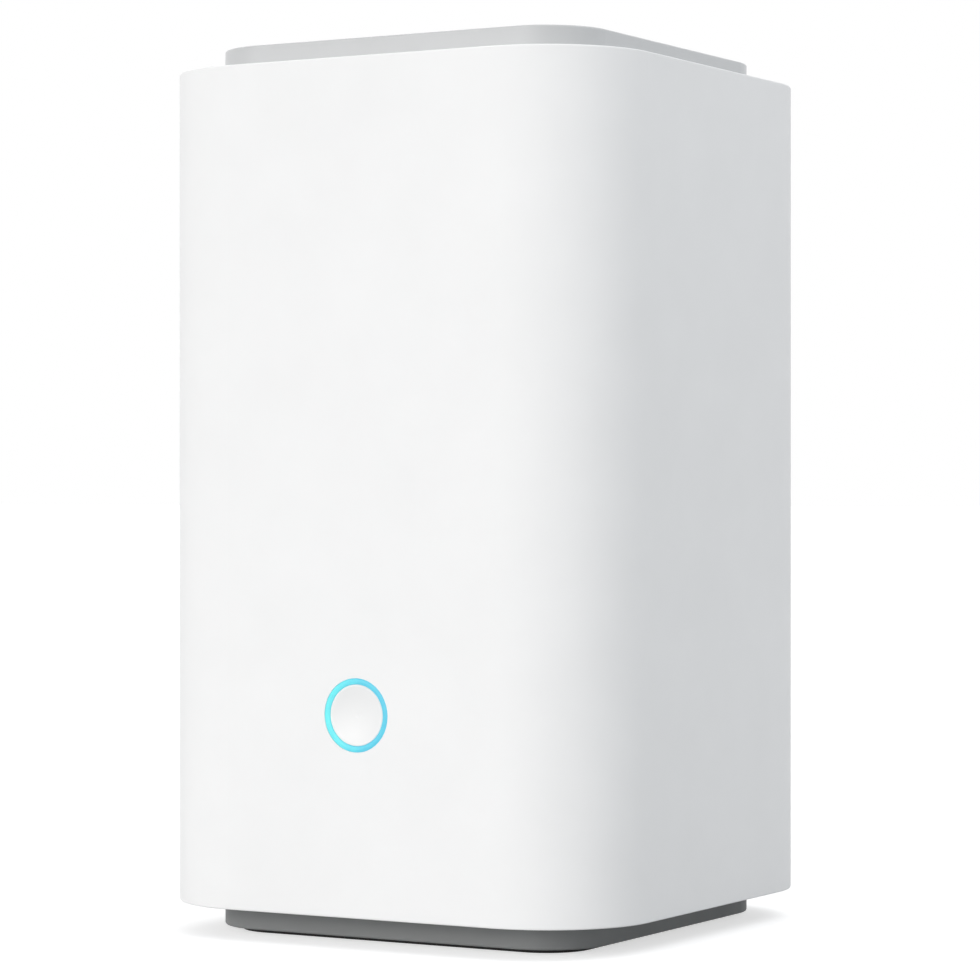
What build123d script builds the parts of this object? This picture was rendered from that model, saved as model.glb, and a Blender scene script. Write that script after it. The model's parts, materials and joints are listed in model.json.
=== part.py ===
from build123d import *
import math
import os

# Security camera base station: a square white tower on a dark plinth, with a lit push button in
# front and its ports low in the back. Millimetres. X runs right as seen from the front, Y runs to
# the back and Z up. The origin is on the standing surface, under the middle of the tower.

# Outer form
body_side = 96.0
body_corner_r = 20.5
body_h = 154.0
trim_inset = 8.5
cap_proud = 4.5
plinth_h = 4.6
foot_proud = 0.9
foot_inset = 3.25

# Walls, edges and clearances shared by the mouldings
wall = 2.2
trim_wall = 2.0
cap_top_t = 1.8
sleeve_top_edge_r = 0.3
sleeve_mouth_edge_r = 0.3
cap_edge_r = 0.4
plinth_edge_r = 0.4
foot_edge_r = 0.3
mould_gap = 0.15
slide_gap = 0.06
seat_gap = 0.05
overrun = 1.0

# Screws: the larger for the housing, the smaller for small boards and the speaker
screw_r = 1.45
screw_head_r = 2.75
screw_head_h = 1.8
small_screw_r = 0.95
small_screw_head_r = 1.9
small_screw_head_h = 1.3
screw_edge = 0.4
boss_wall = 1.75

# Levels and faces that follow from the outer form
inner_side = body_side - 2 * wall
inner_r = body_corner_r - wall
trim_side = body_side - 2 * trim_inset
trim_r = body_corner_r - trim_inset
foot_side = trim_side - 2 * foot_inset
foot_r = trim_r - foot_inset
front_y = -body_side / 2
back_y = body_side / 2
front_in_y = front_y + wall
back_in_y = back_y - wall
plinth_z = foot_proud
sleeve_z = plinth_z + plinth_h
sleeve_top_z = sleeve_z + body_h
roof_z = sleeve_top_z - wall
total_h = sleeve_top_z + cap_proud

# Plinth: a tray with a plate that fills the sleeve's mouth
plate_sunk = 0.6
plate_t = 2.4
plate_gap = 0.25
floor_t = 2.2
foot_sunk = 0.5
plinth_rib_t = 1.4
plinth_rib_pitch = 18.0
vent_w = 2.6
vent_l = 6.4
vent_pitch = 8.8
vents_per_side = 5
plate_z = sleeve_z + plate_sunk
plate_top_z = plate_z + plate_t
floor_z = plinth_z + floor_t
foot_top_z = plinth_z + foot_sunk
plate_side = inner_side - 2 * plate_gap
plate_r = inner_r - plate_gap

# Cap clips
clip_in = 5.5
clip_w = 8.0
clip_t = 1.6
clip_barb = 0.9
clip_barb_h = 1.2
clip_flex = 1.2
clip_x = trim_side / 2 - clip_in

# Main board, lying across the tower above the plinth
board_lift = 6.5
board_t = 1.6
board_front_gap = 9.8
board_side_gap = 1.8
board_edge_gap = 0.3
board_tab_l = 9.5
board_tab_side_gap = 1.8
board_corner_r = 3.0
board_hole_in = 3.4
board_front_hole_in = 6.0
board_back_hole_in = 6.4
standoff_wall = 1.6
board_z = plate_top_z + board_lift
board_top_z = board_z + board_t

# Sockets on the main board's back edge, in standard sizes
lan_w = 16.0
lan_h = 13.5
lan_l = 21.0
lan_shield_t = 0.25
plug_w = 11.9
plug_h = 6.9
plug_l = 14.5
plug_lift = 4.1
latch_w = 6.4
latch_h = 1.6
latch_tip_w = 3.4
latch_tip_h = 1.3
lamp_w = 2.8
lamp_h = 2.2
lamp_l = 9.0
lamp_lift = 0.9
lamp_in = 0.7
contact_count = 8
contact_pitch = 1.02
contact_w = 0.5
contact_t = 0.3
contact_front = 2.6
contact_flat = 2.4
contact_l = 9.6
contact_drop = 1.7
usb_w = 13.3
usb_h = 5.8
usb_l = 14.5
usb_sheet_t = 0.3
usb_block_l = 4.4
usb_tongue_w = 11.1
usb_tongue_t = 1.84
usb_tongue_l = 8.6
usb_tongue_drop = 0.9
dc_w = 9.0
dc_h = 11.0
dc_l = 11.5
dc_nose_r = 4.0
dc_bore_r = 3.15
dc_bore_l = 9.5
dc_axis_lift = 6.5
dc_pin_r = 1.05
dc_pin_root_r = 1.6
dc_pin_short = 1.0
port_gap = 2.2
port_sunk = 0.5

# Isolating transformer behind the network socket
transformer_l = 8.0
transformer_h = 4.0
transformer_gap = 1.5

# Port bay: an opening in the sleeve's back, open at its lower rim, and the panel that fills it
bay_margin = 1.8
bay_head = 2.4
bay_corner_r = 3.0
panel_sunk = 1.2
panel_flange_t = 1.85
panel_lap = 2.2
panel_tenon_w = 4.0
panel_tenon_t = 1.0
panel_tenon_l = 1.5
panel_tenon_in = 5.0
bay_w = dc_w + usb_w + lan_w + 2 * port_gap + 2 * bay_margin
bay_top_z = board_top_z + lan_h + bay_head
panel_face_y = back_y - panel_sunk
panel_lap_y = back_in_y - mould_gap
panel_in_y = panel_lap_y - panel_flange_t
panel_top_z = bay_top_z + panel_lap
port_face_y = panel_face_y - port_sunk
dc_x = -bay_w / 2 + bay_margin + dc_w / 2
usb_x = dc_x + dc_w / 2 + port_gap + usb_w / 2
lan_x = usb_x + usb_w / 2 + port_gap + lan_w / 2
dc_z = board_top_z + dc_axis_lift
plug_z = board_top_z + plug_lift
board_back_y = panel_in_y - board_edge_gap
board_front_y = front_in_y + board_front_gap
board_shoulder_y = board_back_y - board_tab_l
lan_back_y = port_face_y - lan_l

# Memory card sockets and reset switch, under the main board
card_w = 11.0
card_l = 15.0
card_t = 0.7
card_step = 1.3
card_shoulder = 6.4
card_lip_l = 1.4
card_lip_h = 0.25
card_gap = 0.15
card_push = 0.6
card_sunk = 0.2
socket_w = 14.0
socket_h = 1.9
socket_sheet_t = 0.3
socket_proud = 1.8
slot_h = 1.3
thumb_r = 8.0
thumb_depth = 0.8
thumb_h = 5.4
reset_w = 4.7
reset_l = 3.5
reset_h = 1.65
reset_stem_r = 0.6
reset_stem_proud = 0.8
reset_stem_in = 1.2
reset_travel = 0.25
pinhole_r = 0.9
card_back_y = panel_face_y - card_sunk
card_front_y = card_back_y - card_l
socket_back_y = board_back_y + socket_proud
socket_front_y = card_front_y - card_push - card_gap - socket_sheet_t
slot_z = board_z - socket_h + socket_sheet_t
card_z = slot_z + card_gap
card_xs = (usb_x, lan_x)
reset_back_y = board_back_y - reset_stem_proud
reset_stem_z = board_z - reset_h / 2

# Light ring and push button, turned about an axis through the front wall
button_z = 41.8
ring_outer_r = 6.6
ring_inner_r = 5.56
ring_edge_drop = 0.15
ring_flange_r = 8.6
ring_flange_t = 1.2
ring_bore_l = 2.8
ring_bore_r = 6.3
ring_tube_r = 7.6
dish_depth = 0.7
button_sunk = 0.05
button_rim_w = 0.35
button_edge = 0.05
button_front_t = 1.2
button_skirt_t = 1.1
button_flange_r = 6.1
button_flange_t = 1.0
button_stem_r = 1.6
button_travel = 0.6
button_r = ring_inner_r - slide_gap
ring_step_y = front_y + ring_bore_l
flange_front_y = ring_step_y + seat_gap
flange_back_y = flange_front_y + button_flange_t

# Board behind the button
switch_side = 6.0
switch_h = 3.5
switch_well_r = 1.85
switch_well_spare = 0.4
plunger_r = 1.75
plunger_l = 1.6
plunger_proud = 0.8
led_count = 8
led_w = 1.6
led_d = 0.8
led_h = 0.8
led_gap = 0.3
button_board_w = 32.0
button_board_h = 24.0
button_board_t = 1.2
button_board_corner_r = 2.0
button_board_hole_in = 3.5
button_boss_floor = 1.2
button_pile = 7.3
button_board_y = front_in_y + button_pile
button_board_back_y = button_board_y + button_board_t
switch_well_l = plunger_l - plunger_proud + button_travel + switch_well_spare
switch_front_y = button_board_y - switch_h
plunger_front_y = switch_front_y - plunger_proud
led_front_y = button_board_y - led_h
ring_back_y = led_front_y - led_gap
led_ring_r = (ring_bore_r + ring_tube_r) / 2
button_hole_x = button_board_w / 2 - button_board_hole_in
button_hole_z = button_board_h / 2 - button_board_hole_in

# Flat cable from the button board down to the main board
ribbon_w = 6.0
ribbon_t = 0.3
ribbon_bend_r = 3.0
ribbon_socket_w = 10.0
ribbon_socket_t = 1.1
ribbon_socket_h = 3.2
ribbon_socket_l = 4.0
ribbon_socket_in = 3.0
ribbon_reach = 5.0
ribbon_y = button_board_back_y + ribbon_socket_t / 2
ribbon_top_z = button_z - button_board_h / 2 + ribbon_socket_in
ribbon_low_z = board_top_z + ribbon_socket_t / 2
ribbon_end_y = board_front_y + ribbon_reach

# Inner frame: two legs that carry a cage for the speaker
frame_t = 2.2
frame_side_gap = 5.8
leg_rib_t = 1.6
leg_slot_w = 10.0
leg_slot_h = 13.0
leg_slot_lift = 10.0
sole_l = 11.5
sole_t = 2.2
sole_boss_gap = 0.5
frame_screw_in = 7.5
frame_screw_y = 7.0
cage_h = 55.0
deck_window_side = 50.0
deck_window_r = 8.0
cage_gate_w = 52.0
cage_window_w = 30.0
cage_window_h = 40.0
cage_window_r = 6.0
cage_window_y = -9.0
top_post_h = 5.3
top_post_in = 10.0
frame_screw_grip = 5.0
sleeve_screw_grip = 4.5
leg_w = 3 * vent_pitch + leg_rib_t
frame_side = inner_side - 2 * frame_side_gap
frame_r = inner_r - frame_side_gap
frame_in_side = frame_side - 2 * frame_t
frame_x = frame_side / 2
frame_in_x = frame_in_side / 2
deck_top_z = roof_z - top_post_h
cage_z = deck_top_z - cage_h
sole_top_z = plate_top_z + sole_t
sole_boss_z = board_z - sole_boss_gap
frame_screw_x = frame_x - frame_screw_in
top_post_x = frame_x - top_post_in
board_w = frame_in_side - 2 * board_side_gap
board_tab_w = bay_w + 2 * panel_lap + 2 * board_tab_side_gap
hole_x = board_w / 2 - board_hole_in
hole_front_y = board_front_y + board_front_hole_in
transformer_front_y = lan_back_y - transformer_gap - transformer_l
hole_back_y = board_shoulder_y - board_back_hole_in

# Speaker in the cage's back wall, behind a grille in the sleeve
grille_r = 22.0
grille_lap = 3.0
grille_flange_t = 1.4
grille_sunk = 0.3
grille_rim = 3.0
grille_slots = 9
grille_slot_h = 1.9
grille_pitch = 4.0
speaker_flange_side = 53.0
speaker_flange_t = 1.5
speaker_corner_r = 5.0
speaker_hole_in = 4.0
basket_r = 23.2
basket_gap = 0.3
basket_t = 1.2
basket_neck_r = 14.5
basket_l = 13.2
basket_windows = 4
basket_window_w = 14.0
surround_r = 21.4
surround_w = 2.5
cone_t = 0.5
cone_neck_r = 6.6
cone_depth = 8.0
dust_cap_rise = 1.6
coil_r = 6.9
coil_t = 0.4
coil_l = 9.0
magnet_r = 14.0
magnet_l = 7.4
magnet_gap_w = 1.6
magnet_gap_l = 5.4
gasket_w = 3.5
tag_w = 12.0
tag_h = 4.0
tag_t = 1.2
tag_gap = 0.8
speaker_z = deck_top_z - cage_h / 2
speaker_seat_y = frame_x
speaker_face_y = speaker_seat_y + speaker_flange_t
grille_flange_y = back_in_y - grille_flange_t
speaker_hole = speaker_flange_side / 2 - speaker_hole_in
basket_back_y = speaker_seat_y - basket_l
cone_rim_y = speaker_face_y - cone_t
tag_y = frame_in_x - tag_gap - tag_t
tag_z = speaker_z - basket_r

# Chips, cans and connectors on the main board
board_part_edge = 2.45
chip_side = 14.0
chip_h = 1.4
pad_t = 0.8
sink_front_gap = 12.0
sink_back_gap = 1.8
sink_base_t = 3.0
sink_fin_h = 11.0
sink_fin_t = 1.2
sink_fins = 11
sink_pin_in = 3.2
sink_pin_r = 1.4
sink_pin_head_r = 2.4
sink_pin_head_h = 1.2
sink_pin_barb_r = 1.9
sink_pin_barb_h = 1.6
memory_w = 8.0
memory_l = 11.0
memory_h = 1.0
memory_gap = 1.6
memory_pitch = 12.5
memory_front_gap = 0.75
memory_count = 2
can_w = 13.0
can_h = 2.6
can_t = 0.3
can_gap = 2.5
can_front_gap = 4.0
capacitor_r = 3.2
capacitor_h = 8.0
capacitor_pitch = 8.5
capacitor_gap = 4.8
capacitor_edge = 0.5
capacitor_count = 2
aerial_plug_r = 1.3
aerial_plug_h = 1.4
aerial_plug_pitch = 4.6
aerial_plug_gap = 1.1
aerial_plug_in = 2.6
aerial_plug_back_gap = 1.5
speaker_plug_w = 6.0
speaker_plug_l = 4.0
speaker_plug_h = 5.0
speaker_plug_gap = 1.4
sink_z = board_top_z + chip_h + pad_t
sink_left_x = -board_w / 2 + board_part_edge + memory_w + memory_gap
sink_right_x = board_w / 2 - board_part_edge - can_w - can_gap
sink_front_y = board_front_y + sink_front_gap
sink_back_y = transformer_front_y - sink_back_gap
sink_w = sink_right_x - sink_left_x
sink_l = sink_back_y - sink_front_y
chip_x = (sink_left_x + sink_right_x) / 2
chip_y = (sink_front_y + sink_back_y) / 2
plug_row_x = board_w / 2 - aerial_plug_in
plug_row_y = transformer_front_y - aerial_plug_back_gap - aerial_plug_r
can_x = board_w / 2 - board_part_edge - can_w / 2
can_front_y = hole_front_y + screw_head_r + can_front_gap
can_back_y = plug_row_y - aerial_plug_r - aerial_plug_gap
memory_x = -board_w / 2 + board_part_edge + memory_w / 2
memory_front_y = hole_front_y + screw_head_r + memory_front_gap
memory_back_y = memory_front_y + (memory_count - 1) * memory_pitch + memory_l
speaker_plug_x = memory_x
speaker_plug_y = memory_back_y + speaker_plug_gap + speaker_plug_l / 2

# Aerials stuck to the frame, and the thin leads inside the tower
aerial_t = 0.3
wifi_aerial_w = 9.0
wifi_aerial_h = 40.0
wifi_aerial_y = 17.0
hub_aerial_w = 10.0
hub_aerial_h = 44.0
hub_aerial_gap = 2.4
lead_r = 0.6
speaker_lead_r = 0.9
lead_turn_share = 0.45
lead_drop = 2.5
right_lead_shares = (0.81, 0.43, 0.76)
left_lead_shares = ((-0.70, 0.50, 0.76), (0.10, 0.50, 0.56))
speaker_lead_shares = ((-0.15, 0.78, 0.71), (-0.50, 0.45, 0.45))
hub_lead_shares = (0.85, 0.08, 0.22)
hub_lead_top_share = 0.76
hub_lead_low_share = -0.05
speaker_lead_top_share = 0.92
right_lead_low_share = 0.27
left_lead_low_share = 0.34
speaker_lead_low_share = 0.29
leg_slot_z = board_top_z + leg_slot_lift
hub_aerial_z = leg_slot_z + leg_slot_h + hub_aerial_gap + hub_aerial_h / 2

signs = (-1, 1)


def prism(side_x, side_y, corner_r, z0, z1):
    """Upright block about the Z axis with round corners."""
    return extrude(Pos(0, 0, z0) * RectangleRounded(side_x, side_y, corner_r), amount=z1 - z0)


def block(x0, x1, y0, y1, z0, z1):
    """Square-edged block between two corners."""
    return Pos((x0 + x1) / 2, (y0 + y1) / 2, (z0 + z1) / 2) * Box(x1 - x0, y1 - y0, z1 - z0)


def peg(x, y, r, z0, z1):
    """Upright cylinder."""
    return Pos(x, y, (z0 + z1) / 2) * Cylinder(r, z1 - z0)


def rod(x, z, r, y0, y1):
    """Cylinder lying along Y."""
    return Pos(x, (y0 + y1) / 2, z) * Rot(90, 0, 0) * Cylinder(r, y1 - y0)


def slab(sketch, y0, y1):
    """Body whose outline is drawn in X and Z, from y0 to y1."""
    plane = Plane(origin=(0, y1, 0), x_dir=(1, 0, 0), z_dir=(0, -1, 0))
    return extrude(plane * sketch, amount=y1 - y0)


def rail(sketch, x0, x1):
    """Body whose outline is drawn in Y and Z, from x0 to x1."""
    plane = Plane(origin=(x0, 0, 0), x_dir=(0, 1, 0), z_dir=(1, 0, 0))
    return extrude(plane * sketch, amount=x1 - x0)


def outline(*points):
    """Closed straight-sided outline."""
    return make_face(Polyline(*points, close=True))


def block_face(x, z0, z1, width, grow):
    """Rectangle in X and Z about x, larger by grow on every side."""
    return Pos(x, (z0 + z1) / 2) * Rectangle(width + 2 * grow, z1 - z0 + 2 * grow)


def arch(width, z0, z1, corner_r):
    """Upright outline from z0 to z1 with its two top corners round."""
    shape = Pos(0, (z0 + z1) / 2) * Rectangle(width, z1 - z0)
    return fillet(shape.vertices().group_by(Axis.Y)[-1], corner_r)


def turned(shape, z):
    """Body turned about the Y direction at height z, from an outline of radius and Y."""
    return Pos(0, 0, z) * revolve(shape, axis=Axis.Y)


def spun(x, y, *points):
    """Body turned about the Z direction, from points of radius and Z."""
    return Pos(x, y, 0) * revolve(Plane.XZ * outline(*points), axis=Axis.Z)


def group(solids):
    """Several separate solids that share one node."""
    return Compound([part.solid() for part in solids])


def screw(shank_r, head_r, head_h, length):
    """Pan-head screw with its seat at the origin and its shank down."""
    return spun(
        0, 0,
        (0, head_h), (head_r - screw_edge, head_h), (head_r, head_h - screw_edge), (head_r, 0),
        (shank_r, 0), (shank_r, screw_edge - length), (shank_r - screw_edge, -length), (0, -length),
    )


def corners(x, y):
    """The four places at plus and minus x and y."""
    return [(sx * x, sy * y) for sx in signs for sy in signs]


def sleeve_inside(gap, z0, z1):
    """The space within the sleeve's walls, smaller by gap all round."""
    side = inner_side - 2 * gap
    return prism(side, side, inner_r - gap, z0, z1)


def outer_sleeve():
    """White sleeve with a roof; the back has the port bay and a seat for the grille."""
    shell = prism(body_side, body_side, body_corner_r, sleeve_z, sleeve_top_z)
    shell = fillet(shell.faces().sort_by(Axis.Z)[-1].edges(), sleeve_top_edge_r)
    shell = fillet(shell.faces().sort_by(Axis.Z)[0].edges(), sleeve_mouth_edge_r)
    shell -= sleeve_inside(0, sleeve_z - overrun, roof_z)
    bay = arch(bay_w, sleeve_z - overrun, bay_top_z, bay_corner_r)
    shell -= slab(bay, back_in_y - overrun, back_y + overrun)
    for x, dz in corners(button_hole_x, button_hole_z):
        shell += rod(x, button_z + dz, small_screw_r + boss_wall, front_in_y, button_board_y)
        pilot_y = front_y + button_boss_floor + wall / 2
        shell -= rod(x, button_z + dz, small_screw_r + seat_gap, pilot_y, button_board_y + overrun)
    shell -= rod(0, button_z, ring_outer_r + seat_gap, front_y - overrun, front_in_y + overrun)
    shell -= rod(0, speaker_z, grille_r + mould_gap, back_in_y - overrun, back_y + overrun)
    for quarter in range(4):
        slot = block(
            clip_x - clip_t - clip_flex, clip_x + mould_gap,
            -clip_w / 2 - mould_gap, clip_w / 2 + mould_gap,
            roof_z - overrun, sleeve_top_z + overrun,
        )
        shell -= Rot(0, 0, 90 * quarter) * slot
    for x, y in corners(top_post_x, top_post_x):
        shell -= peg(x, y, screw_r + mould_gap, roof_z - overrun, sleeve_top_z + overrun)
    return shell


def cap_clip():
    """Hook of the cap, catching under the roof at its outer side."""
    under_z = total_h - cap_top_t
    catch_z = roof_z - seat_gap
    tip_z = catch_z - clip_barb_h
    profile = outline(
        (clip_x - clip_t, under_z), (clip_x, under_z), (clip_x, catch_z),
        (clip_x + clip_barb, catch_z), (clip_x, tip_z), (clip_x - clip_t, tip_z),
    )
    return slab(profile, -clip_w / 2, clip_w / 2)


def top_cap():
    """Light-grey cap, hollow below, with a clip on each side."""
    cap = prism(trim_side, trim_side, trim_r, sleeve_top_z, total_h)
    cap = fillet(cap.faces().sort_by(Axis.Z)[-1].edges(), cap_edge_r)
    hollow_side = trim_side - 2 * trim_wall
    cap -= prism(
        hollow_side, hollow_side, trim_r - trim_wall, sleeve_top_z - overrun, total_h - cap_top_t
    )
    for quarter in range(4):
        cap += Rot(0, 0, 90 * quarter) * cap_clip()
    return cap


def vent_slots():
    """Air slots through the plate's overhang, on the front and both sides."""
    ring_mid = (trim_side + plate_side) / 4
    cuts = []
    for turn in (-90, 0, 90):
        for k in range(vents_per_side):
            along = (k - (vents_per_side - 1) / 2) * vent_pitch
            slot = Pos(along, -ring_mid, plate_z - overrun) * SlotOverall(vent_l, vent_w)
            cuts.append(Rot(0, 0, turn) * extrude(slot, amount=plate_t + 2 * overrun))
    return cuts


def base_plinth():
    """Dark tray: the pedestal seen below the sleeve, and the plate in the sleeve's mouth."""
    tray = prism(trim_side, trim_side, trim_r, plinth_z, plate_top_z)
    tray = fillet(tray.faces().sort_by(Axis.Z)[0].edges(), plinth_edge_r)
    tray += prism(plate_side, plate_side, plate_r, plate_z, plate_top_z)
    pocket_side = trim_side - 2 * trim_wall
    pocket = prism(pocket_side, pocket_side, trim_r - trim_wall, floor_z, plate_top_z + overrun)
    tray -= pocket
    ribs = [
        block(-pocket_side / 2, pocket_side / 2, at, at + plinth_rib_t, floor_z, plate_z)
        for at in (k * plinth_rib_pitch - plinth_rib_t / 2 for k in (-1, 0, 1))
    ]
    ribs += [Rot(0, 0, 90) * rib for rib in ribs]
    tray += ribs
    for y in (hole_front_y, hole_back_y):
        for sx in signs:
            tray += peg(sx * hole_x, y, screw_r + standoff_wall, floor_z, board_z)
            tray -= peg(sx * hole_x, y, screw_r + seat_gap, floor_z, board_z + overrun)
    for x, y in corners(frame_screw_x, frame_screw_y):
        seat_z = foot_top_z + screw_head_h + mould_gap
        tray += peg(x, y, screw_head_r + boss_wall, floor_z, plate_top_z)
        tray -= peg(x, y, screw_head_r + mould_gap, plinth_z - overrun, seat_z)
        tray -= peg(x, y, screw_r + mould_gap, seat_z, plate_top_z + overrun)
    foot_seat = foot_side + 2 * mould_gap
    tray -= prism(foot_seat, foot_seat, foot_r + mould_gap, plinth_z - overrun, foot_top_z)
    tray -= vent_slots()
    for sx in signs:
        tray -= panel_tenon(sx, mould_gap, overrun)
    return tray


def panel_tenon(side, gap, over):
    """Foot of the back panel on one side, or with gaps the mortise that takes it."""
    x = side * (bay_w / 2 - panel_tenon_in)
    return block(
        x - panel_tenon_w / 2 - gap, x + panel_tenon_w / 2 + gap,
        panel_in_y - gap, panel_in_y + panel_tenon_t + gap,
        plate_top_z - panel_tenon_l - gap, plate_top_z + over,
    )


def rubber_foot():
    """Black pad let into the plinth's underside."""
    foot = prism(foot_side, foot_side, foot_r, 0, foot_top_z)
    return fillet(foot.faces().sort_by(Axis.Z)[0].edges(), foot_edge_r)


def plug_opening(grow):
    """Stepped mouth of the network socket, with its latch notch down, in X and Z."""
    mouth = Pos(lan_x, plug_z + plug_h / 2) * Rectangle(plug_w + 2 * grow, plug_h + 2 * grow)
    latch = block_face(lan_x, plug_z - latch_h, plug_z, latch_w, grow)
    tip = block_face(lan_x, plug_z - latch_h - latch_tip_h, plug_z, latch_tip_w, grow)
    return mouth + latch + tip


def rear_io_panel():
    """Dark panel that fills the port bay from inside and lets the sockets through."""
    flange = arch(bay_w + 2 * panel_lap, plate_top_z, panel_top_z, bay_corner_r + panel_lap)
    panel = slab(flange, panel_in_y, panel_lap_y) & sleeve_inside(mould_gap, sleeve_z, roof_z)
    fill = arch(bay_w - 2 * mould_gap, sleeve_z, bay_top_z - mould_gap, bay_corner_r - mould_gap)
    panel += slab(fill, panel_lap_y, panel_face_y)
    y0 = panel_in_y - overrun
    y1 = panel_face_y + overrun
    lan_mouth = block_face(lan_x, board_top_z, board_top_z + lan_h, lan_w, mould_gap)
    usb_mouth = block_face(usb_x, board_top_z, board_top_z + usb_h, usb_w, mould_gap)
    panel -= slab(lan_mouth, y0, y1)
    panel -= slab(usb_mouth, y0, y1)
    panel -= rod(dc_x, dc_z, dc_nose_r + mould_gap, y0, y1)
    for x in card_xs:
        socket_room = block_face(x, board_z - socket_h, board_z, socket_w, mould_gap)
        slot = block_face(x, slot_z, slot_z + slot_h, card_w, card_gap)
        thumb_y = panel_face_y + thumb_r - thumb_depth
        slot_mid_z = slot_z + slot_h / 2
        panel -= slab(socket_room, y0, socket_back_y + mould_gap)
        panel -= slab(slot, y0, y1)
        panel -= peg(x, thumb_y, thumb_r, slot_mid_z - thumb_h / 2, slot_mid_z)
    panel -= rod(dc_x, reset_stem_z, pinhole_r, y0, y1)
    for sx in signs:
        panel += panel_tenon(sx, 0, 0)
    return panel


def lan_jack():
    """Black housing of the network socket."""
    half = lan_w / 2 - lan_shield_t
    front_face_y = port_face_y - lan_shield_t
    body = block(
        lan_x - half, lan_x + half, lan_back_y + lan_shield_t, front_face_y,
        board_top_z, board_top_z + lan_h - lan_shield_t,
    )
    body -= slab(plug_opening(0), port_face_y - plug_l, port_face_y + overrun)
    for lamp in lamp_faces(0):
        body -= slab(lamp, port_face_y - lamp_l, port_face_y + overrun)
    return body


def lamp_faces(grow):
    """The two lamp windows beside the latch notch, in X and Z."""
    dx = lan_w / 2 - lan_shield_t - lamp_in - lamp_w / 2
    z0 = board_top_z + lamp_lift
    return [block_face(lan_x + sx * dx, z0, z0 + lamp_h, lamp_w, grow) for sx in signs]


def lan_jack_shield():
    """Folded sheet round the network socket, open below and at the plug's mouth."""
    shell = block(
        lan_x - lan_w / 2, lan_x + lan_w / 2, lan_back_y, port_face_y,
        board_top_z, board_top_z + lan_h,
    )
    half = lan_w / 2 - lan_shield_t
    shell -= block(
        lan_x - half, lan_x + half, lan_back_y + lan_shield_t, port_face_y - lan_shield_t,
        board_top_z - overrun, board_top_z + lan_h - lan_shield_t,
    )
    mouth = plug_opening(lan_shield_t)
    for lamp in lamp_faces(0):
        mouth += lamp
    return shell - slab(mouth, port_face_y - lan_shield_t - overrun, port_face_y + overrun)


def lan_contacts():
    """Eight spring wires that slope down from the roof of the plug's space."""
    top_z = plug_z + plug_h
    y0 = port_face_y - contact_front
    y1 = y0 - contact_flat
    y2 = y0 - contact_l
    profile = outline(
        (y0, top_z), (y0, top_z - contact_t), (y1, top_z - contact_t),
        (y2, top_z - contact_drop - contact_t), (y2, top_z - contact_drop), (y1, top_z),
    )
    wires = []
    for k in range(contact_count):
        x = lan_x + (k - (contact_count - 1) / 2) * contact_pitch
        wires.append(rail(profile, x - contact_w / 2, x + contact_w / 2))
    return group(wires)


def lan_lamps():
    """Clear light pipes of the network socket's two lamps."""
    return group([slab(lamp, port_face_y - lamp_l, port_face_y) for lamp in lamp_faces(0)])


def usb_port():
    """Folded steel shell of the USB socket."""
    back = port_face_y - usb_l
    shell = block(
        usb_x - usb_w / 2, usb_x + usb_w / 2, back, port_face_y, board_top_z, board_top_z + usb_h
    )
    half = usb_w / 2 - usb_sheet_t
    return shell - block(
        usb_x - half, usb_x + half, back - overrun, port_face_y + overrun,
        board_top_z + usb_sheet_t, board_top_z + usb_h - usb_sheet_t,
    )


def usb_tongue():
    """Plastic block in the back of the USB shell, with the contact tongue."""
    half = usb_w / 2 - usb_sheet_t
    back = port_face_y - usb_l
    root_y = back + usb_block_l
    top_z = board_top_z + usb_h - usb_sheet_t
    tongue_z = top_z - usb_tongue_drop
    body = block(usb_x - half, usb_x + half, back, root_y, board_top_z + usb_sheet_t, top_z)
    return body + block(
        usb_x - usb_tongue_w / 2, usb_x + usb_tongue_w / 2, root_y, root_y + usb_tongue_l,
        tongue_z - usb_tongue_t, tongue_z,
    )


def dc_jack():
    """Power socket: a block on the board with a round nose through the panel."""
    body = block(
        dc_x - dc_w / 2, dc_x + dc_w / 2, board_back_y - dc_l, board_back_y,
        board_top_z, board_top_z + dc_h,
    )
    body += rod(dc_x, dc_z, dc_nose_r, board_back_y, port_face_y)
    body -= rod(dc_x, dc_z, dc_bore_r, port_face_y - dc_bore_l, port_face_y + overrun)
    root_back_y = board_back_y - dc_l
    return body - rod(
        dc_x, dc_z, dc_pin_root_r + seat_gap, root_back_y - overrun, port_face_y - dc_bore_l
    )


def dc_jack_pin():
    """Centre pin of the power socket, with a thicker root in the block."""
    root_y = port_face_y - dc_bore_l
    tip_y = port_face_y - dc_pin_short
    root_back_y = board_back_y - dc_l
    shape = outline(
        (0, root_back_y), (dc_pin_root_r, root_back_y), (dc_pin_root_r, root_y),
        (dc_pin_r, root_y), (dc_pin_r, tip_y - dc_pin_r / 2), (dc_pin_r / 2, tip_y), (0, tip_y),
    )
    return Pos(dc_x, 0, 0) * turned(shape, dc_z)


def microsd_sockets():
    """Two flat card sockets on the board's underside."""
    sockets = []
    for x in card_xs:
        body = block(
            x - socket_w / 2, x + socket_w / 2, socket_front_y, socket_back_y,
            board_z - socket_h, board_z,
        )
        half = card_w / 2 + card_gap
        body -= block(
            x - half, x + half, socket_front_y + socket_sheet_t, socket_back_y + overrun,
            slot_z, slot_z + slot_h,
        )
        sockets.append(body)
    return group(sockets)


def microsd_card(x):
    """Memory card with its stepped side and finger lip."""
    half = card_w / 2
    step_y = card_back_y - card_shoulder
    shape = outline(
        (x - half, card_back_y), (x - half, card_front_y), (x + half - card_step, card_front_y),
        (x + half - card_step, step_y - card_step), (x + half, step_y), (x + half, card_back_y),
    )
    card = extrude(Pos(0, 0, card_z) * shape, amount=card_t)
    lip_z = card_z + card_t
    return card + block(
        x - half, x + half, card_back_y - card_lip_l, card_back_y, lip_z, lip_z + card_lip_h
    )


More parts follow.
